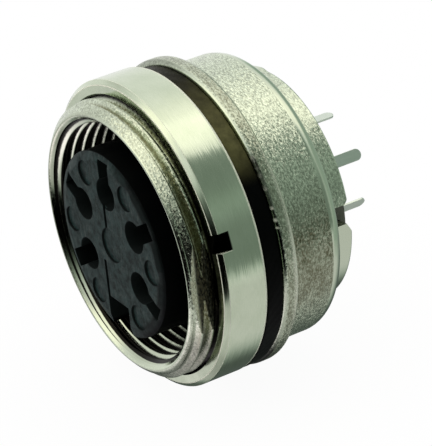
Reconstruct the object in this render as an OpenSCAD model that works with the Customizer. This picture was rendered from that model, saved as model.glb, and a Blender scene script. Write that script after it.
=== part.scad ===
// Round panel receptacle for a sensor cable: a die-cast shell that is pushed
// through a panel from behind and held by a ring nut at the front, with five
// socket contacts on an arc and flat solder tails at the rear.
//
// The axis of the connector is Y. The mating face looks along -Y, +Z is up and
// +X is to the right of someone who looks at the mating face. The origin lies on
// the axis, in the plane where the flange meets the panel seal. Clock angles run
// from 12 o'clock towards +X.

/* [Flange and drum] */
// Diameter of the flange
flange_d = 20.1; // [18:0.1:23]
// Thickness of the flange
flange_t = 1.05; // [0.8:0.05:1.6]
// Rounding of the front edge of the flange
flange_front_round = 0.35; // [0.1:0.05:0.4]
// Rounding of the rear edge of the flange
flange_rear_round = 0.25; // [0.05:0.05:0.35]
// Height of the flange's edge above the drum behind it
drum_inset = 0.8; // [0.4:0.05:1.1]
// Length of the drum
drum_len = 3.92; // [3.6:0.02:5]
// Rounding of the rear edge of the drum
drum_round = 0.9; // [0.5:0.05:1]

/* [Threaded nose] */
// Distance from the panel seat to the front rim
nose_len = 5.75; // [5:0.05:7]
// Height of the flange's edge above the mounting thread
flange_overhang = 1.05; // [0.8:0.05:1.5]
// Wall between the crests of the two threads of the nose
nose_wall = 1.4; // [1.2:0.05:1.8]
// Height of the lead-in cone of the mounting thread
lead_h = 0.58; // [0.4:0.02:0.7]
// Length of that cone
lead_len = 0.48; // [0.3:0.02:0.9]
// Width of the flat front rim
rim_w = 0.22; // [0.1:0.02:0.4]
// Bevel at the outer edge of the front rim
rim_bevel = 0.05; // [0.02:0.01:0.1]
// Depth of the two side flats that interrupt the thread
flat_depth = 0.5; // [0.2:0.05:0.6]

/* [Rear collar] */
// Height of the drum above the rough sectors of the collar
collar_inset = 1.67; // [1.4:0.01:2]
// Wall of the collar round the rear bore
collar_wall = 0.73; // [0.6:0.01:0.9]
// Height of the two smooth raised sectors above them
pad_h = 0.14; // [0.06:0.01:0.25]
// Length of the collar behind the drum
collar_len = 1.59; // [1.2:0.01:2.4]
// Rounding of the rear edge of the collar
collar_round = 0.15; // [0.05:0.05:0.25]
// Arc of each raised sector in degrees
pad_arc = 85; // [60:1:90]
// Distance from the end of the collar back to the end of each raised sector
pad_back = 0.03; // [0.02:0.01:0.1]
// Clock angle of the middle of the first open notch
notch_clock = 84.5; // [75:0.5:100]
// Arc of each open notch in degrees
notch_arc = 9; // [6:1:16]
// Length of wall left between a notch and the drum
notch_web = 0.25; // [0.15:0.05:0.7]
// Chamfer of the rear corner of a notch on its near side
notch_chamfer = 0.3; // [0.1:0.05:0.4]
// Width of the ramp from a notch up to its raised sector
ramp_w = 0.7; // [0.3:0.05:1]
// Length of that ramp along the axis
ramp_len = 0.4; // [0.2:0.05:0.6]

/* [Shell bore] */
// Depth of the front cavity behind the panel seat
cavity_depth = 1.6; // [1:0.1:2]
// Thickness of the inner shoulder that carries the insert
shoulder_t = 1; // [0.7:0.1:1.3]

/* [Ring nut] */
// Height of the flange's edge above the edge of the nut
nut_inset = 0.05; // [0:0.01:0.3]
// Width of the nut along the axis
nut_w = 2.92; // [2.4:0.02:3.1]
// Chamfer of the outer edges of the nut
nut_chamfer = 0.28; // [0.15:0.01:0.4]
// Chamfer at the mouth of the nut's thread
nut_mouth = 0.2; // [0.1:0.05:0.3]
// Radial play between the nut and the thread it runs on
nut_play = 0.04; // [0.02:0.01:0.08]
// Width of each spanner slot
slot_w = 1.17; // [0.8:0.01:1.6]
// Depth of each spanner slot along the axis
slot_depth = 1.08; // [0.6:0.02:1.5]
// Clock angle of the first spanner slot
slot_clock = 72; // [0:1:180]
// Number of spanner slots
slot_count = 2; // [1:1:4]

/* [Panel seal] */
// Height of the flange's edge above the edge of the seal
seal_inset = 0.2; // [0.15:0.01:0.45]
// Thickness of the seal
seal_t = 1.15; // [0.8:0.05:1.4]
// Rounding of the outer edges of the seal
seal_round = 0.12; // [0.05:0.01:0.2]
// Gap between the seal and the nut as delivered
seal_gap = 0.08; // [0.02:0.01:0.2]
// Radial play of the seal on the thread
seal_play = 0.17; // [0.05:0.01:0.25]
// Share of that play by which the loose seal hangs below the axis
seal_sag = 0.9; // [0:0.05:0.95]

/* [Contact insert] */
// Gap between the insert and the coupling thread
coupling_gap = 1.5; // [1.3:0.05:1.7]
// Height of the insert's face above the front rim
insert_proud = 0.36; // [0:0.02:0.6]
// Width of the shallow bevel round the face
bevel_w = 0.62; // [0.3:0.02:0.8]
// Depth of that bevel
bevel_depth = 0.16; // [0.05:0.01:0.3]
// Radial play of the insert in the shell's shoulder
insert_play = 0.1; // [0.05:0.01:0.2]
// Thickness of the insert's rear flange
insert_flange_t = 1.4; // [0.8:0.1:1.8]
// Radial play of the insulators in the rear bore
bore_play = 0.05; // [0.02:0.01:0.1]
// Width of the polarising keyway
key_w = 2.4; // [1.8:0.1:2.8]
// Depth of the keyway
key_depth = 2.15; // [1.6:0.05:2.4]
// Diameter of the round ejector recesses between the contacts
eject_d = 1.65; // [1.2:0.05:1.8]
// Distance from the insert's edge to the middle of each of them
eject_inset = 1.35; // [1.2:0.05:1.5]
// Diameter of the recess in the middle of the face
centre_d = 2.3; // [1.6:0.1:3]
// Depth of all shallow recesses in the face
recess_depth = 0.15; // [0.08:0.01:0.3]
// Width of the two fine grooves in the face
groove_w = 0.26; // [0.15:0.01:0.35]

/* [Contacts] */
// Distance from the insert's edge to the circle of the contacts
contact_inset = 2.6; // [2.4:0.05:2.7]
// Step between neighbouring contacts in degrees
contact_step = 60; // [56:1:60]
// Diameter of the round holes for the contacts
contact_hole_d = 2.1; // [1.9:0.05:2.3]
// Width of the slot that opens each hole outwards
keyhole_w = 1.15; // [0.8:0.05:1.3]
// Wall between the end of that slot and the insert's edge
keyhole_wall = 0.4; // [0.35:0.05:0.9]
// Depth of that slot behind the face
keyhole_depth = 5.4; // [4:0.1:6]
// Outside diameter of a socket
socket_d = 1.7; // [1.5:0.05:1.8]
// Bore of a socket
socket_bore_d = 1.04; // [1:0.01:1.1]
// Distance from the insert's face to the mouth of a socket
socket_recess = 1.8; // [0.6:0.1:2.4]
// Length of a socket
socket_len = 5; // [4:0.1:6]
// Length of the closed end behind the bore of a socket
socket_end = 0.5; // [0.3:0.1:1.5]
// Width of the seam along a socket
seam_w = 0.2; // [0.1:0.01:0.25]
// Width of the shank between socket and tail
shank_w = 1.5; // [1.2:0.05:1.7]
// Width of a solder tail
tail_w = 0.77; // [0.6:0.01:0.9]
// Thickness of the sheet that a shank and tail are cut from
tail_t = 0.14; // [0.1:0.01:0.4]
// Distance from the contact circle inwards to the middle of that sheet
tail_inset = 0.13; // [0:0.01:0.3]
// Length of a tail behind the collar
tail_len = 4.11; // [2.5:0.01:6]

/* [Rear insulator] */
// Height of the rear insulator above the end of the collar
rear_proud = 0.12; // [0:0.02:0.4]
// Clearance round each tail in the rear insulator
tail_play = 0.03; // [0.01:0.01:0.06]

/* [Hidden] */
$fn = 96;
eps = 0.01;
contact_count = 5;
arc_steps = 8;

nickel = [0.69, 0.70, 0.64];
satin_nickel = [0.76, 0.77, 0.70];
tin = [0.70, 0.74, 0.68];
charcoal = [0.16, 0.18, 0.18];
black_rubber = [0.06, 0.06, 0.06];

flange_r = flange_d / 2;
thread_r = flange_r - flange_overhang;
flat_x = thread_r - flat_depth;
rim_out_r = thread_r - lead_h;
rim_in_r = rim_out_r - rim_w;
bore_r = thread_r - nose_wall;
nut_r = flange_r - nut_inset;
seal_r = flange_r - seal_inset;
drum_r = flange_r - drum_inset;
collar_r = drum_r - collar_inset;
pad_r = collar_r + pad_h;
rear_bore_r = collar_r - collar_wall;
insert_r = bore_r - coupling_gap;
shoulder_r = insert_r + insert_play;
rear_part_r = rear_bore_r - bore_play;
key_floor = insert_r - key_depth;
eject_r = insert_r - eject_inset;
contact_r = insert_r - contact_inset;
keyhole_reach = insert_r - keyhole_wall;

rim_y = -nose_len;
drum_end = flange_t + drum_len;
collar_end = drum_end + collar_len;
shoulder_y = cavity_depth + shoulder_t;
face_y = rim_y - insert_proud;
insert_end = shoulder_y + insert_flange_t;
insulator_end = collar_end + rear_proud;
tail_end = collar_end + tail_len;
nut_rear = -seal_t - seal_gap;
nut_front = nut_rear - nut_w;
socket_bore_len = socket_len - socket_end;
sheet_r = contact_r - tail_inset - tail_t / 2;

// Points of an arc with centre c and radius r between two angles
function arc(c, r, a0, a1) =
    [for (i = [0:arc_steps]) let (a = a0 + (a1 - a0) * i / arc_steps) c + r * [cos(a), sin(a)]];

// Clock angle of contact i, counted from 1
function contact_clock(i) = (i - (contact_count + 1) / 2) * contact_step;

// Revolves a profile of [radius, place along Y] round the connector's axis
module turned(points) rotate([-90, 0, 0]) rotate_extrude() polygon(points);

// Round bar along Y from y0 to y1
module bar(r, y0, y1) translate([0, y0, 0]) rotate([-90, 0, 0]) cylinder(r = r, h = y1 - y0);

// Turns what is modelled at 12 o'clock to a clock angle
module at_clock(a) rotate([0, a, 0]) children();

// Rectangular bar along Y, centred in X, from z0 to z1
module block(w, y0, y1, z0, z1) translate([-w / 2, y0, z0]) cube([w, y1 - y0, z1 - z0]);

// Raised sector of the collar from a clock angle on
module raised_sector(clock, span) {
    inner = (collar_r + rear_bore_r) / 2;
    end = collar_end - pad_back;
    at_clock(clock - 90) rotate([-90, 0, 0]) rotate_extrude(angle = span)
        polygon(concat([[inner, drum_end - eps], [pad_r, drum_end - eps]],
            arc([pad_r - collar_round, end - collar_round], collar_round, 0, 90),
            [[inner, end]]));
}

// Outer form of the casting, from the front rim to the rear of the collar
module shell_form() {
    thread_y = rim_y + rim_bevel + lead_len;
    turned(concat(
        [[0, rim_y], [rim_out_r - rim_bevel, rim_y], [rim_out_r, rim_y + rim_bevel]],
        [[thread_r, thread_y], [thread_r, 0]],
        arc([flange_r - flange_front_round, flange_front_round], flange_front_round, -90, 0),
        arc([flange_r - flange_rear_round, flange_t - flange_rear_round], flange_rear_round, 0, 90),
        [[drum_r, flange_t]],
        arc([drum_r - drum_round, drum_end - drum_round], drum_round, 0, 90),
        [[collar_r, drum_end]],
        arc([collar_r - collar_round, collar_end - collar_round], collar_round, 0, 90),
        [[0, collar_end]]));
    // The raised sectors begin inside the notches, which cut them off
    for (side = [0, 180])
        raised_sector(notch_clock + notch_arc / 4 + side, pad_arc + notch_arc / 4);
}

// Space of one open notch of the collar, at 12 o'clock
module notch() {
    half = collar_r * sin(notch_arc / 2);
    translate([0, 0, shoulder_r]) linear_extrude(height = pad_r + eps - shoulder_r)
        polygon([[-half, drum_end + notch_web], [half, drum_end + notch_web],
            [half, collar_end - ramp_len], [half + ramp_w * (1 + eps / ramp_len), collar_end + eps],
            [-half - notch_chamfer - eps, collar_end + eps], [-half, collar_end - notch_chamfer]]);
}

module shell() {
    entry = rim_in_r - bore_r;
    color(nickel) difference() {
        shell_form();
        // Front cavity with its lead-in, shoulder and rear bore
        turned([[0, rim_y - eps], [rim_in_r + eps, rim_y - eps], [bore_r, rim_y + entry],
            [bore_r, cavity_depth], [shoulder_r, cavity_depth], [shoulder_r, shoulder_y],
            [rear_bore_r, shoulder_y], [rear_bore_r, collar_end + eps], [0, collar_end + eps]]);
        // Side flats across the thread
        for (side = [-1, 1]) translate([side * (flat_x + thread_r / 2), rim_y / 2 - eps, 0])
            cube([thread_r, nose_len, 2 * thread_r], center = true);
        for (side = [0, 180]) at_clock(notch_clock + side) notch();
    }
}

module ring_nut() {
    inner = thread_r + nut_play;
    color(satin_nickel) difference() {
        turned([[inner + nut_mouth, nut_front], [nut_r - nut_chamfer, nut_front],
            [nut_r, nut_front + nut_chamfer], [nut_r, nut_rear - nut_chamfer],
            [nut_r - nut_chamfer, nut_rear], [inner + nut_mouth, nut_rear],
            [inner, nut_rear - nut_mouth], [inner, nut_front + nut_mouth]]);
        for (i = [0:slot_count - 1]) at_clock(slot_clock + i * 360 / slot_count)
            block(slot_w, nut_front - eps, nut_front + slot_depth, thread_r / 2, nut_r + eps);
    }
}

module panel_seal() {
    color(black_rubber) translate([0, 0, -seal_sag * seal_play]) turned(concat(
        [[thread_r + seal_play, -seal_t]],
        arc([seal_r - seal_round, seal_round - seal_t], seal_round, -90, 0),
        [[seal_r, 0], [thread_r + seal_play, 0]]));
}

// Keyhole that takes one contact, at 12 o'clock
module keyhole() {
    translate([0, 0, contact_r]) bar(contact_hole_d / 2, face_y - eps, insert_end + eps);
    block(keyhole_w, face_y - eps, face_y + keyhole_depth, contact_r, keyhole_reach);
}

module contact_insert() {
    color(charcoal) difference() {
        turned([[0, face_y], [insert_r - bevel_w, face_y], [insert_r, face_y + bevel_depth],
            [insert_r, shoulder_y], [rear_part_r, shoulder_y], [rear_part_r, insert_end],
            [0, insert_end]]);
        for (i = [1:contact_count]) at_clock(contact_clock(i)) keyhole();
        // Polarising keyway at 6 o'clock
        at_clock(180) block(key_w, face_y - eps, cavity_depth, key_floor, insert_r + eps);
        // Ejector recesses midway between the contacts, and the recess in the middle
        for (i = [0:contact_count]) at_clock(contact_clock(1) + (i - 0.5) * contact_step)
            translate([0, 0, eject_r]) bar(eject_d / 2, face_y - eps, face_y + recess_depth);
        bar(centre_d / 2, face_y - eps, face_y + recess_depth);
        // Fine grooves from the top hole to the middle and from the middle to the keyway
        translate([-centre_d / 6, 0, 0])
            block(groove_w, face_y - eps, face_y + recess_depth, 0, contact_r);
        translate([groove_w / 2 - key_w / 2, 0, 0])
            block(groove_w, face_y - eps, face_y + recess_depth, -key_floor - eps, -centre_d * 0.62);
    }
}

module rear_insulator() {
    color(charcoal) difference() {
        bar(rear_part_r, insert_end, insulator_end);
        for (i = [1:contact_count]) at_clock(contact_clock(i))
            block(tail_w + 2 * tail_play, insert_end - eps, insulator_end + eps,
                sheet_r - tail_play, sheet_r + tail_t + tail_play);
    }
}

// Socket, shank and round-ended tail of one contact, at 12 o'clock
module contact() {
    mouth = face_y + socket_recess;
    color(tin) difference() {
        union() {
            translate([0, 0, contact_r]) bar(socket_d / 2, mouth, mouth + socket_len);
            block(shank_w, mouth + socket_len - eps, insert_end, sheet_r, sheet_r + tail_t);
            block(tail_w, insert_end - eps, tail_end - tail_w / 2, sheet_r, sheet_r + tail_t);
            translate([0, tail_end - tail_w / 2, sheet_r]) cylinder(d = tail_w, h = tail_t);
        }
        translate([0, 0, contact_r]) bar(socket_bore_d / 2, mouth - eps, mouth + socket_bore_len);
        block(seam_w, mouth - eps, mouth + socket_bore_len, contact_r, contact_r + socket_d);
    }
}

module contact_1() at_clock(contact_clock(1)) contact();
module contact_2() at_clock(contact_clock(2)) contact();
module contact_3() at_clock(contact_clock(3)) contact();
module contact_4() at_clock(contact_clock(4)) contact();
module contact_5() at_clock(contact_clock(5)) contact();

shell();
ring_nut();
panel_seal();
contact_insert();
rear_insulator();
contact_1();
contact_2();
contact_3();
contact_4();
contact_5();
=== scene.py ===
"""Looks of the round panel receptacle: cast nickel shell with cut threads, satin ring nut, rubber seal,
dark moulded insert and tinned contacts, on a white floor in soft studio light."""

import bmesh
import bpy
import numpy as np
from mathutils import Matrix, Vector


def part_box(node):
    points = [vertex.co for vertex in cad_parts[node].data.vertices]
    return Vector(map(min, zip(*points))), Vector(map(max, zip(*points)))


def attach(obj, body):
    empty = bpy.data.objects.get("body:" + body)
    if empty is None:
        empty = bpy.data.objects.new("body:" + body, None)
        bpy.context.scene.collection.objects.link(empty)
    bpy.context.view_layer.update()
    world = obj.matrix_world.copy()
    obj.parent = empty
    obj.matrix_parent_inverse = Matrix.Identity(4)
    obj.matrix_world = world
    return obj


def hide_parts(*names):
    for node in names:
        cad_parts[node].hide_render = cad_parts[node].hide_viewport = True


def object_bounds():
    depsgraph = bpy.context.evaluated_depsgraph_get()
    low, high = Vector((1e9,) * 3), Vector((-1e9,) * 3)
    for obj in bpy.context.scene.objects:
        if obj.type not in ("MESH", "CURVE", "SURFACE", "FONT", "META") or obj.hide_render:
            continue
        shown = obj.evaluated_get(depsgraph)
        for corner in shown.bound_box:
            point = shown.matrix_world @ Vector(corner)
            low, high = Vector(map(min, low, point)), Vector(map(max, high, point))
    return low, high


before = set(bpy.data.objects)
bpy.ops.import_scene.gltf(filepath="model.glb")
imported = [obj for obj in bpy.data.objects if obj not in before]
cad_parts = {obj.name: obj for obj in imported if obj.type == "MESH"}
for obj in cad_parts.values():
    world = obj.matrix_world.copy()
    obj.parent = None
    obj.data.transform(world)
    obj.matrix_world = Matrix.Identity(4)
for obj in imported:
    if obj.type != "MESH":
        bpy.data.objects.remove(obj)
cad_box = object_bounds()

# Sizes in millimetres; the ends along Y and the outer radii are read from the frame
MM = 0.001
shell_lo, shell_hi = (np.array(corner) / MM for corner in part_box("shell"))
nut_lo, nut_hi = (np.array(corner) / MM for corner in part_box("ring_nut"))
seal_lo, seal_hi = (np.array(corner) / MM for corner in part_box("panel_seal"))
rim_y, collar_end = shell_lo[1], shell_hi[1]
nut_front, nut_rear = nut_lo[1], nut_hi[1]
flange_r, nut_r = shell_hi[2], nut_hi[2]

# Threads of the nose: a crest outside and a groove inside pass the given places at the given clock angles
pitch = 0.75
crest_r, root_r = 9.0, 8.54
crest_y, last_root_y, crest_clock = -5.324, -4.48, 45
bore_crest_r, bore_root_r = 7.6, 8.0
groove_y, groove_clock = -5.50, 295

# Nose, flange, drum and collar of the shell
rim_in_r, rim_out_r = 8.2, 8.42
rim_bevel, lead_len = 0.05, 0.48
flat_x = 8.5
flange_t, flange_front_round, flange_rear_round = 1.05, 0.35, 0.25
drum_r, drum_end, drum_round = 9.25, 4.97, 0.9
drum_fillet = 0.08
collar_r, pad_r, collar_round = 7.58, 7.72, 0.15
pad_arc, pad_slope = 85.0, 3.0
notch_clock, notch_arc, notch_web = 84.5, 9.0, 0.25
notch_chamfer, ramp_w, ramp_len = 0.3, 0.7, 0.4
cavity_y, shoulder_y = 1.6, 2.6
shoulder_r, rear_bore_r = 6.2, 6.85

# Ring nut and seal
nut_play, nut_mouth = 0.04, 0.12
nut_chamfer, nut_edge, nut_rear_round = 0.28, 0.05, 0.12
slot_half, slot_depth, slot_clock = 0.585, 0.94, 72.0
seal_wall, seal_front_round, seal_rear_round = 0.68, 0.12, 0.1


def bend(centre, radius, start, end, count):
    """Points (r, y) of a circular arc: centre plus radius times the cosine and sine of even angles."""
    a = np.radians(np.linspace(start, end, count))
    return np.stack([centre[0] + radius * np.cos(a), centre[1] + radius * np.sin(a)], 1)


def line(start, end, count):
    """Points (r, y) evenly spaced on a straight line, without its end."""
    t = np.arange(count)[:, None] / count
    return np.array(start) + t * (np.array(end) - np.array(start))


def clock_steps(step, fine_step, fine_spans):
    """Clock angles from 0 to 360 degrees, in coarse steps with finer ones inside the given spans."""
    edges = sorted({0.0, 360.0, *(a for span in fine_spans for a in span)})
    parts = []
    for a, b in zip(edges[:-1], edges[1:]):
        fine = any(lo <= a and b <= hi for lo, hi in fine_spans)
        count = max(2, round((b - a) / (fine_step if fine else step)))
        parts.append(np.linspace(a, b, count, endpoint=False))
    return np.append(np.concatenate(parts), 360.0)


def signed(clock):
    """Clock angle from -180 to 180 degrees."""
    return (clock + 180) % 360 - 180


def stacked(counts, cols, values):
    """Rows of one coordinate or mark: each value is spread over its number of rows and all columns."""
    return np.concatenate([np.broadcast_to(value, (rows, cols)) for rows, value in zip(counts, values)])


def ring_piece(name, clock, r, y, marks):
    """Closed ring: row i, column k lies at x = r sin(clock), z = r cos(clock). The last row joins the first,
    and the last column falls on the first, where a thread has moved on by one turn. Marks are values per
    point."""
    smooth_angle, same_point = 32, 2e-8
    clock, r, y = np.broadcast_arrays(clock, r, y)
    rows, cols = r.shape
    a = np.radians(clock)
    co = np.stack([r * np.sin(a), y, r * np.cos(a)], -1) * MM
    i, k = np.meshgrid(np.arange(rows), np.arange(cols - 1), indexing="ij")
    j = (i + 1) % rows
    corners = [i * cols + k, i * cols + k + 1, j * cols + k + 1, j * cols + k]
    mesh = bpy.data.meshes.new(name)
    mesh.from_pydata(co.reshape(-1, 3), [], np.stack(corners, -1).reshape(-1, 4))
    for mark, values in marks.items():
        layer = mesh.attributes.new(mark, "FLOAT", "POINT")
        layer.data.foreach_set("value", np.broadcast_to(values, (rows, cols)).astype(np.float32).ravel())
    solid = bmesh.new()
    solid.from_mesh(mesh)
    bmesh.ops.remove_doubles(solid, verts=solid.verts, dist=same_point)
    bmesh.ops.dissolve_degenerate(solid, edges=solid.edges, dist=same_point)
    if solid.calc_volume(signed=True) < 0:
        bmesh.ops.reverse_faces(solid, faces=solid.faces)
    solid.to_mesh(mesh)
    solid.free()
    mesh.shade_smooth()
    mesh.set_sharp_from_angle(angle=np.radians(smooth_angle))
    piece = bpy.data.objects.new(name, mesh)
    bpy.context.scene.collection.objects.link(piece)
    return piece


def ease(value, low, high):
    """Smooth step: 0 below low, 1 above high, between them 3 t squared minus 2 t cubed."""
    t = np.clip((value - low) / (high - low), 0, 1)
    return t * t * (3 - 2 * t)


def hump(value, start, full, fade, end):
    """Smooth step up from start to full, and down again from fade to end."""
    return ease(value, start, full) * (1 - ease(value, fade, end))


def bell(value, middle, width):
    """Bell curve of height 1: the exponential of minus the squared distance from the middle in widths."""
    return np.exp(-((value - middle) / width) ** 2)


def most(*values):
    """The largest of several values at each point."""
    return np.maximum.reduce(np.broadcast_arrays(*values))


def wave(*terms):
    """Sum of sines: each term is (height, argument in radians)."""
    return sum(height * np.sin(argument) for height, argument in terms)


def thread_rows(y0, y1, clock, first, corners):
    """Places along Y that follow the helix: one row for each corner of the thread's profile in each turn,
    plus pitch times clock / 360. They are held between y0 and y1, so rows run along the crests and pile up
    at both ends."""
    lift = first + pitch * clock / 360
    low = np.floor((y0 - lift.max()) / pitch) - 1
    high = np.ceil((y1 - lift.min()) / pitch) + 1
    phase = np.array(corners)[:-1, 0]
    rows = (np.arange(low, high)[:, None] * pitch + phase).ravel()[:, None]
    return np.clip(rows + lift, y0, y1), lift


def saw(phase, corners):
    """Radius of a thread at a phase along the pitch: straight between the (phase, radius) corners."""
    at, radius = np.array(corners).T
    return np.interp(np.mod(phase, pitch), at, radius)


def outer_profile():
    """Corners (phase, radius) of the 60 degree mounting thread: narrow crest with broken edges, straight
    flanks and a rounded root, with more points between them so that the mesh stays fine."""
    crest_w, edge, shoulder, shoulder_slope = 0.09, 0.014, 0.035, 1.69
    fillet_start, fillet_end, fillet_h, points = 0.86, 1.1, 0.06, 16
    flank = (crest_r - root_r) * np.tan(np.radians(30))
    falling = [(0, crest_r - edge), (shoulder, crest_r - edge - shoulder_slope * shoulder),
               (fillet_start * flank, root_r + fillet_h), (fillet_end * flank, root_r)]
    corners = [(0, crest_r - edge), (edge, crest_r), (crest_w - edge, crest_r)]
    corners += [(crest_w + at, radius) for at, radius in falling]
    corners += [(pitch - at, radius) for at, radius in falling[::-1]]
    corner_at, corner_r = np.array(corners).T
    fine_at = np.unique(np.round(np.append(corner_at, np.linspace(0, pitch, points)), 6))
    return np.stack([fine_at, np.interp(fine_at, corner_at, corner_r)], 1)


def bore_profile():
    """Corners (phase, radius) of the coupling thread: rounded groove, straight flanks, rounded crest."""
    groove_drop = [(0, 0), (0.06, 0.015), (0.11, 0.05), (0.15, 0.11)]
    crest_rise = [(0.215, 0.177), (0.25, 0.117), (0.294, 0.04), (0.335, 0.003), (0.36, 0)]
    corners = [(at, bore_root_r - drop) for at, drop in groove_drop]
    corners += [(at, bore_crest_r + rise) for at, rise in crest_rise]
    return corners + [(pitch - at, radius) for at, radius in corners[::-1]]


def shell_nose():
    """Threaded front of the casting. Outside: rounded rim, lead-in cone and right-hand thread, where the
    smallest radius of cone, thread and side flats counts. Inside: entry cone and coupling thread, where the
    larger radius counts."""
    clock = clock_steps(0.9, 0.4, [(66, 114), (246, 294)])[None]
    turned = signed(clock)
    flat = flat_x / np.maximum(np.abs(np.sin(np.radians(clock))), 1e-6)
    cone_y = rim_y + rim_bevel
    lead_end = cone_y + lead_len
    lip_round, lip_r = 0.206, rim_in_r + 0.085
    lip_rows, cone_row = 10, 5
    thread_end, deep_y = nut_front + 0.8, -1.0

    def lead(y):
        """Radius of the lead-in cone."""
        return rim_out_r + (y - cone_y) / lead_len * (crest_r - rim_out_r)

    # Outer thread, from the cone to its end under the nut
    outside = outer_profile()
    start_y = cone_y + (root_r - rim_out_r) / (crest_r - rim_out_r) * lead_len
    y_out, lift_out = thread_rows(start_y, thread_end, clock, crest_y - pitch * crest_clock / 360, outside)
    cut = saw(y_out - lift_out, outside)
    r_out = np.minimum(np.minimum(cut, lead(y_out)), flat)

    # Rim with a rounded lip, and the end that flange and bore hide
    rim = np.concatenate([bend((lip_r, rim_y + lip_round), lip_round, -135, -50, 10)[1:],
                          line((rim_out_r, cone_y), (root_r, start_y), 2)])
    hidden = np.array([[crest_r, thread_end + 0.02], [crest_r, 0], [bore_crest_r, 0], [bore_crest_r, -0.9]])

    # Coupling thread, from deep inside to its entry at the rim
    inside = bore_profile()
    entry_y = rim_y + rim_in_r - bore_root_r
    y_in, lift_in = thread_rows(entry_y, deep_y, clock, groove_y - pitch * groove_clock / 360, inside)
    y_in = y_in[::-1]
    r_in = np.maximum(saw(y_in - lift_in, inside), rim_in_r - (y_in - rim_y))
    lip_start = (lip_r - 0.707 * lip_round, rim_y + 0.293 * lip_round)
    entry = line((bore_root_r + 0.01, entry_y - 0.01), lip_start, 3)

    counts = [len(part) for part in (rim, y_out, hidden, y_in, entry)]

    def rows(*values):
        """One coordinate or mark on the rim, outer thread, hidden end, coupling thread and entry."""
        return stacked(counts, clock.shape[1], values)

    # Painted shade, as black and as brown: under the nose, on the low flanks and the roots of the outer
    # thread further round, behind its last crest, in the gap at the nut, and darker on the left of the rim;
    # the side flats are brown and darker too
    rim_step = np.arange(len(rim))[:, None]
    on_lip, on_cone = rim_step < lip_rows, rim_step >= cone_row
    past_lead = ease(y_out, lead_end - 0.12, lead_end)
    on_flat = 1.0 * (flat < np.minimum(cut, lead(y_out)) - 1e-4)
    lower_side = hump(clock, 95, 125, 215, 250)
    under = hump(clock, 100, 121, 215, 250)
    left_rim = 0.4 * ease(np.cos(np.radians(clock - 290)), 0, 0.7)
    last_root = y_out - (last_root_y + pitch * (clock - crest_clock) / 360)
    shade_end = np.interp(turned, [10, 25, 35, 45, 55], [0.56, 0.58, 0.63, 0.67, 0.74])
    low_flank = hump(np.mod(y_out - lift_out, pitch), 0.44, 0.52, shade_end, shade_end + 0.06)
    in_root = ease(crest_r - 0.02 - cut, 0, 0.05) * np.interp(turned, [36, 56], [0, 1])
    darkening = most(0.9 * low_flank * past_lead * (1 - lower_side),
                 in_root * past_lead * (1 - 0.95 * lower_side),
                 0.6 * on_flat)
    shade_share = most(0.52 * under,
                0.72 * on_flat * ease(y_out, lead_end - 0.15, lead_end + 0.1),
                0.95 * lower_side * ease(last_root, 0, 0.08),
                0.7 * lower_side * ease(crest_r - 0.3 - cut, 0, 0.1) * past_lead,
                0.9 * ease(y_out, nut_front + 0.02, nut_front + 0.2))

    # Painted shade on the coupling thread: black except the lit flank of each turn, which stays lighter,
    # less so deeper down
    depth = y_in - entry_y
    first_turn = depth < 1.0
    lit_from = np.where(first_turn, 0.15, 0.215)
    lit_to = np.where(first_turn, 0.30, 0.335)
    lit = hump(np.mod(y_in - lift_in, pitch), lit_from, lit_from + 0.035, lit_to, lit_to + 0.025)
    lit *= 1.05 - 0.14 * np.maximum(depth, 0.7)

    r = rows(rim[:, :1], r_out, np.minimum(hidden[:, :1], flat), r_in, entry[:, :1])
    y = rows(rim[:, 1:], y_out, hidden[:, 1:], y_in, entry[:, 1:])
    # The last three marks below carry painted shade, as black, darker and brown colour, beside an even
    # tarnish; polish is the finish
    marks = {
        "polish": rows(np.where(on_lip, 0.8, 0.3), 0.3 + 0.35 * under, 0.3, 1.0, 1.0),
        "painted_shade": rows(0.45 * under * on_cone, shade_share, 1.0, 1 - lit, 0.0),
        "tarnish_and_shade": rows(np.where(on_lip, left_rim, 0.2), 0.2 + 0.3 * under, 0.2, 0.2, left_rim),
        "brown": rows(0.0, darkening, 0.0, 0.0, 0.0)}
    return ring_piece("shell_nose", clock, r, y, marks)


def collar_columns(near_end, far_end, floor_end):
    """Columns of the casting round the clock, each (clock angle, offset across a notch, rear end, pad). Both
    halves have plain collar, a notch with its two walls and floor, a raised pad and the slope at its end."""
    half = collar_r * np.sin(np.radians(notch_arc / 2))
    near_gap, far_gap = 3, 6
    columns = []
    for side in (notch_clock, notch_clock + 180):
        near, far = side - notch_arc / 2, side + notch_arc / 2
        pad_end = far + pad_arc
        plain = np.linspace(pad_end - 180 + pad_slope, near - near_gap, 130)
        raised = np.linspace(far + far_gap, pad_end - pad_slope, 120)
        columns += [(a, 0, collar_end, 0) for a in plain]
        columns += [(side, -half, collar_end, 0), (side, -half, near_end, 0)]
        columns += [(side, u, floor_end, 0) for u in np.linspace(-half, half, 9)]
        columns += [(side, half, far_end, 1), (side, half, collar_end, 1)]
        columns += [(a, 0, collar_end, 1) for a in raised]
        for t in np.arange(1, 12) / 12:
            columns.append((pad_end + pad_slope * (2 * t - 1), 0, collar_end, 1 - ease(t, 0, 1)))
    columns.append((columns[0][0] + 360, *columns[0][1:]))
    return np.array(columns).T[:, None]


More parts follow.
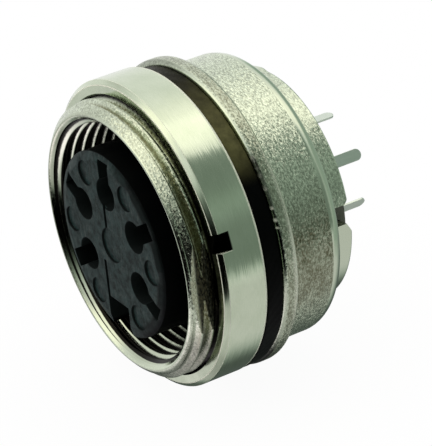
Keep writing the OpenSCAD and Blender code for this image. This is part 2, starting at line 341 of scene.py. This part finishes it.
def shell_body():
    """Flange, drum and collar of the casting, revolved round Y. The collar's radius and rear end change
    with the clock angle: raised pads that slope off at their far end, and open notches with parallel walls,
    chamfered at the rear."""
    near_end, far_end = collar_end - notch_chamfer, collar_end - ramp_len
    centre, offset, rear, pad = collar_columns(near_end, far_end, drum_end + notch_web)
    turned = signed(centre)
    front_c, rear_c = flange_r - flange_front_round, flange_r - flange_rear_round
    drum_edge = drum_end - drum_round
    rough_end = drum_edge - 0.04
    profile = np.concatenate([
        line((bore_crest_r, 0), (front_c, 0), 3),
        bend((front_c, flange_front_round), flange_front_round, -90, 0, 8),
        line((flange_r, flange_front_round), (flange_r, flange_t - flange_rear_round), 4)[1:],
        bend((rear_c, flange_t - flange_rear_round), flange_rear_round, 0, 90, 5),
        line((rear_c, flange_t), (drum_r + drum_fillet, flange_t), 3)[1:],
        bend((drum_r + drum_fillet, flange_t + drum_fillet), drum_fillet, -90, -180, 4),
        line((drum_r, flange_t + drum_fillet), (drum_r, rough_end), 8)[1:],
        line((drum_r, rough_end), (drum_r, drum_edge), 2),
        bend((drum_r - drum_round, drum_edge), drum_round, 0, 90, 14)])
    collar = np.concatenate([
        line((collar_r, drum_end), (collar_r, far_end), 6),
        line((collar_r, far_end), (collar_r, near_end), 1),
        line((collar_r, near_end), (collar_r, collar_end - collar_round), 3),
        bend((collar_r - collar_round, collar_end - collar_round), collar_round, 0, 90, 6)])
    inner = np.concatenate([
        line((rear_bore_r, collar_end), (rear_bore_r, near_end), 3),
        line((rear_bore_r, near_end), (rear_bore_r, far_end), 1),
        line((rear_bore_r, far_end), (rear_bore_r, shoulder_y), 6),
        line((rear_bore_r, shoulder_y), (shoulder_r, shoulder_y), 2),
        line((shoulder_r, shoulder_y), (shoulder_r, cavity_y), 2),
        line((shoulder_r, cavity_y), (bore_crest_r, cavity_y), 2),
        line((bore_crest_r, cavity_y), (bore_crest_r, 0), 3)])
    counts = [len(part) for part in (profile, collar, inner)]

    def rows(on_profile, on_collar, on_inner):
        """One coordinate or mark on the outer profile, the collar and the inside."""
        return stacked(counts, centre.shape[1], (on_profile, on_collar, on_inner))

    r = rows(profile[:, :1], collar[:, :1] + (pad_r - collar_r) * pad, inner[:, :1])
    y = rows(profile[:, 1:], np.minimum(collar[:, 1:], rear), np.minimum(inner[:, 1:], rear))
    ramp = ramp_w / ramp_len * np.maximum(y - far_end, 0)
    widen = np.where(offset < 0, -np.maximum(y - near_end, 0), ramp)
    about = np.where(y > drum_end - 0.01, r, collar_r)
    clock = centre + np.degrees(np.arcsin((offset + widen * (offset != 0)) / about))

    # Where a row lies on the profile
    at_r, at_y = profile[:, :1], profile[:, 1:]
    on_round = at_y > drum_edge - 0.02
    on_drum = (at_y > flange_t - 0.05) & (at_y < drum_edge)
    on_band = (at_y < flange_t - 0.02) & (at_y > 0.6 * flange_front_round) & (at_r > flange_r - 0.1)
    on_rear_face = (at_y > flange_t - 0.85 * flange_rear_round) & (at_r > drum_r + 0.1)
    on_front_face = (at_y < 0.05) & (at_r < front_c - 0.05)
    on_front_round = (at_y < 0.16) & (at_r > front_c - 0.02)
    on_front_edge = (at_y > 0.01) & (at_y < 0.16) & (at_r > front_c)
    on_rear_edge = ease(at_y, 0.6, 0.86) * (at_y < flange_t - 0.01) * (at_r > rear_c + 0.02)

    # Tarnish on the flange band, growing into painted shade towards its underside; darker blotches on the
    # lower side of the drum; painted shade on the hidden front face, next to the seal, under the band and
    # inside the bore; pale chips on the front edge, and pale painted highlights at clock 101 on the front
    # edge and along the rear edge, strongest round clock 84 to 100
    smooth = np.maximum(0.95 * (on_round | on_rear_face), 0.9 * on_front_round)
    lower_drum = 1.3 * bell(turned, 95, 24)
    band_darkening = 0.6 + 0.2 * bell(turned, 102, 18) + 0.4 * ease(turned, 122, 136)
    corner = np.interp(turned, [-40, -20, -8, 4, 14, 42, 50, 62, 72, 84, 100, 120, 132, 142, 170],
                       [0.5, 0.5, 0.45, 0.2, 0.0, 0.0, 0.75, 0.55, 0.2, 0.1, 0.1, 0.35, 0.8, 1.0, 0.5])
    underside = 0.46 * hump(turned, 122, 142, 160, 175)
    shade_share = most(1.0 * on_front_face, corner * (at_y < 0.2), underside * on_band)
    a = np.radians(centre)
    chips = ease(wave((0.5, 61 * a), (0.5, 97 * a + 1), (0.5, 151 * a + 2)), 0.3, 0.6)
    front_edge = np.maximum(0.8 * chips * hump(turned, 42, 50, 88, 96), 0.5 * bell(turned, 101, 6))
    rear_edge = np.interp(turned, [-60, 44, 52, 70, 84, 100, 115, 132, 160],
                          [0.2, 0, 0.25, 0.35, 0.7, 0.6, 0.4, 0.2, 0.1])
    bore_shade = np.minimum(0.5 * np.arange(len(inner)), 1)[:, None]
    marks = {
        "polish": rows(smooth, 0.2 + 0.8 * pad, 0.3),
        "tarnish_and_shade": rows(np.clip(band_darkening * on_band + lower_drum * on_drum, 0, 1), 0.0, 0.0),
        "painted_shade": rows(shade_share, 0.0, bore_shade),
        "wear_and_highlight": rows(np.maximum(front_edge * on_front_edge, rear_edge * on_rear_edge), 0.0, 0.0)}
    return ring_piece("shell_body", clock, r, y, marks)


def ring_nut():
    """Ring nut with chamfered edges. In a spanner slot the front of the profile moves back to the floor."""
    inner, front, rear = crest_r + nut_play, nut_front, nut_rear
    wall_step, beside, next_clock = 0.004, 0.07, 4.2
    rear_line, slot_floor = rear - 0.2, front + slot_depth
    face_end = (nut_r - nut_chamfer - nut_edge - 0.02, front)
    bevel_end, outer_round = front + nut_chamfer + 0.3 * nut_edge, 1.5 * nut_edge
    parts = [
        ("mouth", line((inner, front + nut_mouth), (inner + nut_mouth, front), 2)),
        ("face", line((inner + nut_mouth, front), face_end, 3)),
        ("face", [face_end]),
        ("front_edge", bend((nut_r - nut_chamfer - nut_edge, front + nut_edge), nut_edge, -90, -45, 3)),
        ("bevel", [(nut_r - nut_chamfer + 0.005, front + 0.035)]),
        ("outer_edge", bend((nut_r - outer_round, bevel_end), outer_round, -45, 0, 4)),
        ("outside", line((nut_r, bevel_end), (nut_r, rear_line), 10)[1:]),
        ("outside", [(nut_r, rear_line)]),
        ("rear_edge", bend((nut_r - nut_rear_round, rear - nut_rear_round), nut_rear_round, 0, 90, 6)),
        ("rear", line((nut_r - nut_rear_round, rear), (inner + nut_mouth, rear), 3)[1:]),
        ("mouth", line((inner + nut_mouth, rear), (inner, rear - nut_mouth), 2)),
        ("thread", line((inner, rear - nut_mouth), (inner, front + nut_mouth), 4))]
    profile = np.concatenate([points for _, points in parts])
    part = np.repeat([name for name, _ in parts], [len(points) for _, points in parts])
    columns = []
    for centre in (slot_clock, slot_clock + 180):
        columns += [(centre, -slot_half - wall_step, 0)]
        columns += [(centre, u, 1) for u in np.linspace(-slot_half, slot_half, 7)]
        columns += [(centre, slot_half + wall_step, 0), (centre, slot_half + beside, 0)]
        columns += [(a, 0, 0) for a in np.linspace(centre + next_clock, centre + 180 - next_clock, 215)]
    columns.append((columns[0][0] + 360, *columns[0][1:]))
    centre, offset, slot = np.array(columns).T[:, None]
    r = profile[:, :1] + 0 * centre
    y = np.where(slot > 0, np.maximum(profile[:, 1:], slot_floor), profile[:, 1:])
    clock = centre + np.degrees(np.arcsin(offset / r))
    # Painted shade in the mouth and on the slot floor; pale edges stand for wear and for painted highlights
    # on the front edge, the slot's wall and the rear edge
    shade_spots = (r < inner + 0.5 * nut_mouth) | ((slot > 0) & (y < slot_floor + 0.01))
    at_wall = np.abs(offset - slot_half - wall_step) < 1e-6
    wear_and_highlight = 1.0 * (at_wall & (r > nut_r - 0.12) & (y < slot_floor))
    wear_and_highlight[part == "front_edge"] = 1 - slot
    wear_and_highlight[np.flatnonzero(part == "outer_edge")[1:3]] = 0.5 * (1 - slot)
    wear_and_highlight[np.flatnonzero(part == "rear_edge")[:3]] = 0.8
    return ring_piece("nut_ring", clock, r, y, {"painted_shade": 1.0 * shade_spots, "wear_and_highlight": wear_and_highlight})


def panel_seal():
    """Rubber ring of nearly square section that hangs a little low; sines make its outer edge uneven."""
    outer = (seal_hi[2] - seal_lo[2]) / 2
    sag = (seal_hi[2] + seal_lo[2]) / 2
    inner, front, rear = outer - seal_wall, seal_lo[1], seal_hi[1]
    front_c, rear_c = outer - seal_front_round, outer - seal_rear_round
    clock = clock_steps(0.8, 0.8, [])[None]
    a = np.radians(clock)
    profile = np.concatenate([
        line((inner, front), (front_c, front), 4),
        bend((front_c, front + seal_front_round), seal_front_round, -90, 0, 6),
        line((outer, front + seal_front_round), (outer, rear - seal_rear_round), 8)[1:],
        bend((rear_c, rear - seal_rear_round), seal_rear_round, 0, 90, 6),
        line((rear_c, rear), (inner, rear), 3)[1:],
        line((inner, rear), (inner, front), 3)])
    r, y = profile[:, :1], profile[:, 1:]
    uneven = wave((0.010, 17 * a + 3 * y), (0.008, 41 * a - 7 * y), (0.006, 83 * a + 11 * y)) - 0.02
    turned = signed(clock)
    # Brown on the upper side, strongest towards clock 38: dust, and painted light on the lit top
    dust = (0.11 + 0.89 * ease(turned, 0, 38)) * hump(turned, -100, -60, 40, 57)
    piece = ring_piece("seal_ring", clock, r + uneven * (r > outer - 0.2), y, {"dust": dust})
    piece.data.transform(Matrix.Translation((0, 0, sag * MM)))
    return piece


class Graph:
    """Nodes of a material or of the world, with one short call for each kind of node."""

    def __init__(self, tree):
        self.nodes, self.links = tree.nodes, tree.links

    def put(self, value, socket):
        """Feeds a socket from another one, or sets it to a constant."""
        if isinstance(value, bpy.types.NodeSocket):
            self.links.new(value, socket)
        else:
            socket.default_value = value

    def places(self, scale):
        """Object coordinates in millimetres times a scale per axis."""
        coords = self.nodes.new("ShaderNodeTexCoord")
        mapping = self.nodes.new("ShaderNodeMapping")
        mapping.inputs["Scale"].default_value = [s / MM for s in scale]
        self.links.new(coords.outputs["Object"], mapping.inputs["Vector"])
        return mapping.outputs["Vector"]

    def axes(self, vector):
        """X, Y and Z of a vector, by name."""
        made = self.nodes.new("ShaderNodeSeparateXYZ")
        self.links.new(vector, made.inputs["Vector"])
        return made.outputs

    def noise(self, where, scale, detail, roughness=0.5, output="Fac"):
        """Noise with a number of grains for each unit of the place, as a value or as a colour."""
        made = self.nodes.new("ShaderNodeTexNoise")
        made.inputs["Scale"].default_value = scale
        made.inputs["Detail"].default_value = detail
        made.inputs["Roughness"].default_value = roughness
        self.links.new(where, made.inputs["Vector"])
        return made.outputs[output]

    def spread(self, value, low, high, out_low, out_high):
        """Stretches a value from one range to another and holds it there."""
        made = self.nodes.new("ShaderNodeMapRange")
        ends = {"From Min": low, "From Max": high, "To Min": out_low, "To Max": out_high}
        for name, number in ends.items():
            made.inputs[name].default_value = number
        self.links.new(value, made.inputs["Value"])
        return made.outputs["Result"]

    def math(self, operation, *values, clamp=False):
        """One sum, product or other step on up to three values, each a socket or a number."""
        made = self.nodes.new("ShaderNodeMath")
        made.operation = operation
        made.use_clamp = clamp
        for value, socket in zip(values, made.inputs):
            self.put(value, socket)
        return made.outputs["Value"]

    def vector(self, operation, *values):
        """One step on vectors, each a socket or three numbers."""
        made = self.nodes.new("ShaderNodeVectorMath")
        made.operation = operation
        for value, socket in zip(values, made.inputs):
            self.put(value, socket)
        return made

    def mix(self, share, first, second):
        """Colour between two colours, each a socket or three numbers, by a share from 0 to 1."""
        made = self.nodes.new("ShaderNodeMix")
        made.data_type = "RGBA"
        for name, colour in (("A", first), ("B", second)):
            self.put((*colour, 1) if isinstance(colour, tuple) else colour, made.inputs[name])
        self.links.new(share, made.inputs["Factor"])
        return made.outputs["Result"]

    def mark(self, name, output="Fac"):
        """What a piece keeps per point under a name, 0 on pieces without it."""
        made = self.nodes.new("ShaderNodeAttribute")
        made.attribute_name = name
        return made.outputs[output]

    def relief(self, height, depth, strength, under=None):
        """Bump of a depth in millimetres, on top of another bump where one is given."""
        made = self.nodes.new("ShaderNodeBump")
        made.inputs["Distance"].default_value = depth * MM
        self.put(strength, made.inputs["Strength"])
        self.links.new(height, made.inputs["Height"])
        if under is not None:
            self.links.new(under, made.inputs["Normal"])
        return made.outputs["Normal"]

    def lean(self, colour, amount):
        """Normals that lean by an amount times a random direction, which is read from a colour."""
        centred = self.vector("SUBTRACT", colour, (0.5, 0.5, 0.5))
        scaled = self.vector("SCALE", centred.outputs["Vector"])
        self.put(amount, scaled.inputs["Scale"])
        shape = self.nodes.new("ShaderNodeNewGeometry")
        leant = self.vector("ADD", shape.outputs["Normal"], scaled.outputs["Vector"])
        return self.vector("NORMALIZE", leant.outputs["Vector"]).outputs["Vector"]

    def facets(self, where, scale, amount):
        """Normals of a blasted surface: each small cell leans its own way."""
        cells = self.nodes.new("ShaderNodeTexVoronoi")
        cells.inputs["Scale"].default_value = scale
        self.links.new(where, cells.inputs["Vector"])
        return self.lean(cells.outputs["Color"], amount)


def new_finish(name):
    """Starts a procedural material: the material, its graph and its Principled shader."""
    made = bpy.data.materials.new(name)
    made.use_nodes = True
    return made, Graph(made.node_tree), made.node_tree.nodes["Principled BSDF"]


# Pale, nearly non-metal edges: wear, and painted highlights along edges
pale_edge = (0.86, 0.86, 0.74)
pale_edge_metallic = 0.05


def cast_nickel():
    """Nickel plate on a sand-blasted die casting: sparkling grain that is longer round the axis, smoother
    where the polish mark is high, darker, brown and black where their marks are high (tarnish, and painted
    shade), and pale edges for wear and painted highlights."""
    made, graph, shader = new_finish("cast_nickel")
    dark_grain, light_grain = (0.31, 0.344, 0.266), (0.82, 0.905, 0.71)
    plated, tarnish_and_shade_colour = (0.56, 0.62, 0.485), (0.115, 0.11, 0.06)
    brown_tone, black = (0.20, 0.185, 0.10), (0.010, 0.009, 0.007)
    where = graph.places((0.8, 1.4, 0.8))
    polish, wear_and_highlight = graph.mark("polish"), graph.mark("wear_and_highlight")
    rough = graph.math("SUBTRACT", 1.0, polish)
    grain = graph.noise(where, 7.0, 3, 0.6)
    cloud = graph.noise(where, 0.9, 4, 0.65)
    patches = graph.math("MULTIPLY", graph.spread(cloud, 0.3, 0.65, 0.6, 1),
                         graph.spread(grain, 0.36, 0.62, 1, 0.68))
    # Darker tarnish colour and brown colour, each partly painted shade, and black painted shade with specks
    darkening = graph.math("MULTIPLY", graph.mark("tarnish_and_shade"), patches)
    brown_share = graph.math("MULTIPLY", graph.mark("brown"), graph.spread(grain, 0.35, 0.62, 1, 0.65))
    specks = graph.spread(grain, 0, 1, -0.9, 0.3)
    shade_share = graph.math("MULTIPLY_ADD", graph.mark("painted_shade"), 1.6, specks, clamp=True)
    blasted = graph.mix(graph.spread(grain, 0.34, 0.66, 0, 1), dark_grain, light_grain)
    colour = graph.mix(polish, blasted, plated)
    for share, layer in ((darkening, tarnish_and_shade_colour), (brown_share, brown_tone), (wear_and_highlight, pale_edge), (shade_share, black)):
        colour = graph.mix(share, colour, layer)
    graph.put(colour, shader.inputs["Base Color"])
    graph.put(graph.spread(wear_and_highlight, 0, 1, 1, pale_edge_metallic), shader.inputs["Metallic"])
    dull = graph.math("MULTIPLY_ADD", shade_share, 0.2, graph.spread(grain, 0.3, 0.7, 0.20, 0.30))
    glossy = graph.math("MULTIPLY", polish, 0.12)
    graph.put(graph.math("SUBTRACT", dull, glossy), shader.inputs["Roughness"])
    leant = graph.facets(where, 11, graph.math("MULTIPLY", rough, 0.27))
    strength = graph.math("MULTIPLY", rough, 0.7)
    graph.put(graph.relief(grain, 0.05, strength, leant), shader.inputs["Normal"])
    return made


def satin_nickel():
    """Turned and brushed nickel: fine lines round the axis, since the noise changes fast along Y and slowly
    across, with pale edges for wear and painted highlights, and black painted shade inside the slots and the
    mouth."""
    made, graph, shader = new_finish("satin_nickel")
    dark_line, light_line, black = (0.53, 0.60, 0.45), (0.615, 0.68, 0.53), (0.006, 0.006, 0.005)
    along = graph.places((0.5, 18, 0.5))
    lines = graph.noise(along, 1.0, 3, 0.6)
    cloud = graph.noise(graph.places((1, 1, 1)), 0.5, 2)
    fine = graph.noise(graph.places((2, 30, 2)), 1.0, 3, 0.7)
    shade = graph.spread(graph.math("ADD", cloud, fine), 0.75, 1.25, 0, 1)
    wear_and_highlight = graph.mark("wear_and_highlight")
    colour = graph.mix(shade, dark_line, light_line)
    for share, layer in ((wear_and_highlight, pale_edge), (graph.mark("painted_shade"), black)):
        colour = graph.mix(share, colour, layer)
    graph.put(colour, shader.inputs["Base Color"])
    graph.put(graph.spread(wear_and_highlight, 0, 1, 1, pale_edge_metallic), shader.inputs["Metallic"])
    glossy = graph.spread(lines, 0.3, 0.7, 0.12, 0.20)
    graph.put(graph.math("MULTIPLY_ADD", wear_and_highlight, 0.4, glossy), shader.inputs["Roughness"])
    streaks = graph.noise(along, 1, 2, output="Color")
    graph.put(graph.lean(streaks, 0.12), shader.inputs["Normal"])
    return made


def moulded_plastic(name, hole_wall, side_wall):
    """Charcoal thermoplastic: dull dusty faces that look along Y, with a band of painted shade on the rim at
    the right, where the face is darker, shines less and has less dust, and holes and sides of given colours,
    which shine less."""
    made, graph, shader = new_finish(name)
    face_colour, dust_colour = (0.0095, 0.030, 0.029), (0.075, 0.085, 0.08)
    where = graph.places((1, 1, 1))
    cloud = graph.noise(where, 1.6, 5, 0.72)
    grain = graph.noise(where, 14, 2)
    scuffs = graph.noise(graph.places((1, 1, 0.35)), 5, 4, 0.7)
    facing = graph.axes(graph.nodes.new("ShaderNodeTexCoord").outputs["Normal"])["Y"]
    face = graph.spread(graph.math("MULTIPLY", facing, facing), 0.5, 0.9, 0, 1)
    spot = graph.axes(where)
    across = graph.math("MULTIPLY", spot["X"], spot["X"])
    upward = graph.math("MULTIPLY", spot["Z"], spot["Z"])
    reach = graph.math("SQRT", graph.math("ADD", across, upward))
    # Painted shade: a band on the rim at the right darkens the face towards the side colour
    rim = graph.math("MULTIPLY", graph.spread(reach, 5.2, 5.45, 0, 0.9),
                     graph.spread(spot["X"], 1.0, 3.0, 0, 1))
    dusty = graph.math("MULTIPLY", face, graph.math("SUBTRACT", 1.0, rim))
    dull = graph.math("MULTIPLY", dusty, graph.spread(cloud, 0.36, 0.64, 0.2, 1.15))
    dust = graph.math("MULTIPLY", dull, graph.spread(scuffs, 0.5, 0.72, 0, 0.6))
    side = graph.mix(graph.spread(reach, 5.75, 5.95, 1, 0), side_wall, hole_wall)
    plain = graph.mix(dull, side, face_colour)
    graph.put(graph.mix(dust, plain, dust_colour), shader.inputs["Base Color"])
    graph.put(graph.spread(dull, 0, 1, 0.02, 0.12), shader.inputs["Specular IOR Level"])
    graph.put(graph.spread(grain, 0.3, 0.7, 0.42, 0.56), shader.inputs["Roughness"])
    graph.put(graph.relief(grain, 0.01, 0.3), shader.inputs["Normal"])
    return made


def seal_rubber():
    """Black rubber, brown on its upper side: dust, and painted light where the top is lit."""
    made, graph, shader = new_finish("seal_rubber")
    black, dusty = (0.0012, 0.0014, 0.0014), (0.145, 0.138, 0.058)
    where = graph.places((1, 1, 1))
    cloud = graph.noise(where, 1.5, 4, 0.6)
    grain = graph.noise(where, 9, 3)
    share = graph.math("MULTIPLY", graph.mark("dust"), graph.spread(cloud, 0.3, 0.7, 0.5, 1))
    graph.put(graph.mix(share, black, dusty), shader.inputs["Base Color"])
    graph.put(graph.spread(grain, 0.3, 0.7, 0.30, 0.45), shader.inputs["Roughness"])
    graph.put(0.035, shader.inputs["Specular IOR Level"])
    graph.put(graph.relief(grain, 0.03, 0.4), shader.inputs["Normal"])
    return made


def tinned_copper():
    """Dull tin plate with a fine rolled grain along the tail."""
    made, graph, shader = new_finish("tinned_copper")
    dark_tin, light_tin = (0.60, 0.665, 0.58), (0.70, 0.765, 0.68)
    lines = graph.noise(graph.places((8, 0.8, 8)), 1.0, 3)
    graph.put(graph.mix(lines, dark_tin, light_tin), shader.inputs["Base Color"])
    graph.put(graph.spread(lines, 0.3, 0.7, 0.32, 0.45), shader.inputs["Roughness"])
    graph.put(graph.relief(lines, 0.006, 0.3), shader.inputs["Normal"])
    graph.put(1, shader.inputs["Metallic"])
    return made


def dress_node(node, material, edge):
    """Gives a solid of the frame its finish, joins its triangles and rounds its edges by a width in mm."""
    join_gap, edge_angle = 1e-7, 35
    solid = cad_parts[node]
    solid.data.materials.clear()
    solid.data.materials.append(material)
    weld = solid.modifiers.new("weld", "WELD")
    weld.merge_threshold = join_gap
    bevel = solid.modifiers.new("edge", "BEVEL")
    bevel.limit_method = "ANGLE"
    bevel.angle_limit = np.radians(edge_angle)
    bevel.width = edge * MM
    bevel.segments = 2
    bevel.use_clamp_overlap = False
    bevel.harden_normals = True


def dress_piece(piece, material, body, node):
    """Hangs a new piece on its body in place of a solid of the frame."""
    piece.data.materials.append(material)
    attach(piece, body)
    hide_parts(node)


nickel = cast_nickel()
dark_hole = (0.010, 0.013, 0.013)
# The insert's sides are near black: painted shade inside the shell
insert_plastic = moulded_plastic("insert_plastic", dark_hole, (0.0015, 0.002, 0.002))
rear_plastic = moulded_plastic("rear_plastic", dark_hole, (0.12, 0.125, 0.105))
tin = tinned_copper()
dress_piece(shell_nose(), nickel, "receptacle", "shell")
dress_piece(shell_body(), nickel, "receptacle", "shell")
dress_piece(ring_nut(), satin_nickel(), "nut", "ring_nut")
dress_piece(panel_seal(), seal_rubber(), "receptacle", "panel_seal")
dress_node("contact_insert", insert_plastic, 0.03)
dress_node("rear_insulator", rear_plastic, 0.03)
for number in range(1, 6):
    dress_node(f"contact_{number}", tin, 0.02)


def card(name, points, faces, material):
    """Stage sheet from points in metres."""
    mesh = bpy.data.meshes.new(name)
    mesh.from_pydata(points, [], faces)
    mesh.materials.append(material)
    sheet = bpy.data.objects.new(name, mesh)
    bpy.context.scene.collection.objects.link(sheet)
    return sheet


def floor_paper():
    """White paper that keeps a faint shadow and runs out into the white backdrop away from the object."""
    made, graph, shader = new_finish("floor_paper")
    near, far, near_white = 0.010, 0.026, 0.95
    graph.put((0.96, 0.96, 0.96, 1), shader.inputs["Base Color"])
    graph.put(0.9, shader.inputs["Roughness"])
    graph.put(0.1, shader.inputs["Specular IOR Level"])
    coords = graph.nodes.new("ShaderNodeTexCoord")
    reach = graph.vector("LENGTH", coords.outputs["Object"]).outputs["Value"]
    rays = graph.nodes.new("ShaderNodeLightPath")
    white = graph.nodes.new("ShaderNodeEmission")
    blend = graph.nodes.new("ShaderNodeMixShader")
    whiteness = graph.spread(reach, near, far, near_white, 1.0)
    share = graph.math("MULTIPLY", whiteness, rays.outputs["Is Camera Ray"])
    graph.put(share, blend.inputs["Fac"])
    graph.put(shader.outputs["BSDF"], blend.inputs[1])
    graph.put(white.outputs["Emission"], blend.inputs[2])
    graph.put(blend.outputs["Shader"], graph.nodes["Material Output"].inputs["Surface"])
    return made


def floor():
    """Round sheet of one face, just under the flange."""
    radius, corners, gap = 0.06, 96, 0.00002
    a = np.linspace(0, 2 * np.pi, corners, endpoint=False)
    edge = np.stack([radius * np.sin(a), radius * np.cos(a), np.full_like(a, cad_box[0].z - gap)], 1)
    return card("floor", edge.tolist(), [list(range(corners - 1, -1, -1))], floor_paper())


def studio_glow(x, y, z):
    """Light of the studio seen from the object in the direction (x, y, z), as red, green and blue: white
    walls, a warm softbox overhead, a window in front, a dark room to the right, in front and behind, and
    paper shaded by the object. Angles are in degrees: up from the horizon, turn and ahead round from the
    front."""
    cool = np.array([0.86, 1.06, 0.93])
    warm = np.array([1.10, 0.95, 0.72])
    rosy = np.array([1.12, 0.98, 1.12])
    box_light, window_light, paper_light = 0.46, 0.6, 1.1
    paper_shade, front_shade, wall_shade, low_shade = 0.27, 0.10, 0.28, 0.24
    up = np.degrees(np.arcsin(np.clip(z, -1, 1)))
    turn = np.degrees(np.arctan2(x, -y)) % 360
    ahead = signed(turn)
    high = np.maximum(z, 1e-3)
    box = bell(x / high, -0.02, 0.5) * ease(y / high, -1.0, -0.6) * ease(up, 10, 30)
    box *= 1 - ease(x / high, 0.33, 0.40)
    window = hump(ahead, -50, -34, -14, 4) * hump(up, 1, 8, 44, 58)
    paper = 1 - ease(up, -28, -18)
    near_paper = bell(ahead, -30, 30) * hump(up, -63, -52, -34, -29)
    level = 1.0 - paper * (paper_shade + front_shade * ease(-y, 0, 0.4) - paper_light * near_paper)
    level -= wall_shade * bell(ahead, -70, 14) * bell(up, 25, 12)
    level -= low_shade * (1 - ease(up, -72, -58)) * (1 - ease(ahead, -10, 10)) * ease(-y, -0.1, 0.1)

    # Dark parts, each a share and the light that is left there
    right = hump(turn, 10, 24, 138, 165) * ease(up, -24, -13)
    right *= np.where(z > 0, ease(x / high, 0.34, 0.40), 1)
    right_light = 0.25 + 0.13 * bell(up, 26, 9)
    front = np.maximum(ease(ahead, -14, 2) * (1 - ease(up, 1, 32)),
                       ease(ahead, -43, -31) * (1 - ease(up, -4, 4)))
    front *= (1 - ease(ahead, 62, 86)) * ease(up, -37, -29)
    behind = ease(y, 0.55, 0.71) * hump(up, -40, -20, 15, 35) * (1 - right)
    shaded = hump(turn, 150, 215, 268, 291) * (1 - ease(up, -35, -15))
    dark = 0 * x
    for share, light in ((right, right_light), (front, 0.0), (behind, 0.42), (shaded, 0.1)):
        level = level + (light - level) * share
        dark = np.maximum(dark, share)
    white = level[..., None] * (1 + dark[..., None] * (cool - 1) + near_paper[..., None] * (rosy - 1))
    lamps = np.maximum(box_light * box, window_light * window) * (1 - dark)
    return white + lamps[..., None] * warm


def studio():
    """Sphere round the object with the studio's light; only reflections and matt surfaces see it. Its rows
    run from pole to pole and its columns round the Z axis."""
    radius, rows, cols = 0.6, 91, 180
    up = np.radians(np.linspace(-90, 90, rows))[:, None]
    turn = np.radians(np.arange(cols) * 360 / cols)[None]
    x, y, z = np.broadcast_arrays(np.cos(up) * np.sin(turn), -np.cos(up) * np.cos(turn), np.sin(up))
    i, k = np.meshgrid(np.arange(rows - 1), np.arange(cols), indexing="ij")
    nxt = (k + 1) % cols
    corners = [i * cols + k, (i + 1) * cols + k, (i + 1) * cols + nxt, i * cols + nxt]
    made, graph, _ = new_finish("studio")
    lamp = graph.nodes.new("ShaderNodeEmission")
    graph.put(graph.mark("glow", "Color"), lamp.inputs["Color"])
    graph.put(lamp.outputs["Emission"], graph.nodes["Material Output"].inputs["Surface"])
    points = np.stack([x, y, z], -1).reshape(-1, 3) * radius
    dome = card("studio", points.tolist(), np.stack(corners, -1).reshape(-1, 4).tolist(), made)
    glow = np.ones((rows, cols, 4), np.float32)
    glow[..., :3] = studio_glow(x, y, z)
    dome.data.attributes.new("glow", "FLOAT_COLOR", "POINT").data.foreach_set("color", glow.ravel())
    dome.visible_camera = False
    dome.visible_transmission = False
    dome.visible_shadow = False
    return dome


def softbox(name, direction, distance, size, radiance, colour):
    """Square area lamp that faces the object; its power follows from the wanted brightness of its face."""
    lamp = bpy.data.lights.new(name, "AREA")
    lamp.shape = "SQUARE"
    lamp.size = size
    lamp.color = colour
    lamp.energy = radiance * np.pi * size * size
    spot = bpy.data.objects.new(name, lamp)
    towards = Vector(direction).normalized()
    spot.location = towards * distance
    spot.rotation_mode = "QUATERNION"
    spot.rotation_quaternion = towards.to_track_quat("Z", "Y")
    bpy.context.scene.collection.objects.link(spot)
    return spot


def white_room(light):
    """World that is white to the camera, to reflections and through glass, and lights matt surfaces at its
    own level."""
    world = bpy.data.worlds.new("white_room")
    world.use_nodes = True
    graph = Graph(world.node_tree)
    back = graph.nodes["Background"]
    graph.put((1, 1, 1, 1), back.inputs["Color"])
    rays = graph.nodes.new("ShaderNodeLightPath")
    seen = graph.math("MAXIMUM", rays.outputs["Is Camera Ray"], rays.outputs["Is Glossy Ray"])
    seen = graph.math("MAXIMUM", seen, rays.outputs["Is Transmission Ray"])
    graph.put(graph.spread(seen, 0, 1, light, 1), back.inputs["Strength"])
    bpy.context.scene.world = world


def photo_camera():
    """Camera at the photograph's place: 179 mm away, 61 degrees round from the front, 27 up, 6 tilted."""
    place = Vector((138.73, -77.91, 81.68)) * MM
    right = Vector((0.53490, 0.83993, -0.09162))
    up = Vector((-0.34607, 0.31672, 0.88314))
    data = bpy.data.cameras.new("photo_camera")
    data.lens = 231.5
    data.sensor_width = 36
    data.clip_start = 0.01
    camera = bpy.data.objects.new("photo_camera", data)
    spot = Matrix((right, up, right.cross(up))).transposed().to_4x4()
    spot.translation = place
    camera.matrix_world = spot
    bpy.context.scene.collection.objects.link(camera)
    bpy.context.scene.camera = camera


floor().visible_glossy = False
studio()
softbox("key_light", (0.03, 0.44, 0.9), 0.4, 0.16, 0.2, (1.0, 0.93, 0.86))
white_room(0.75)
photo_camera()
bpy.context.scene.view_settings.view_transform = "Standard"
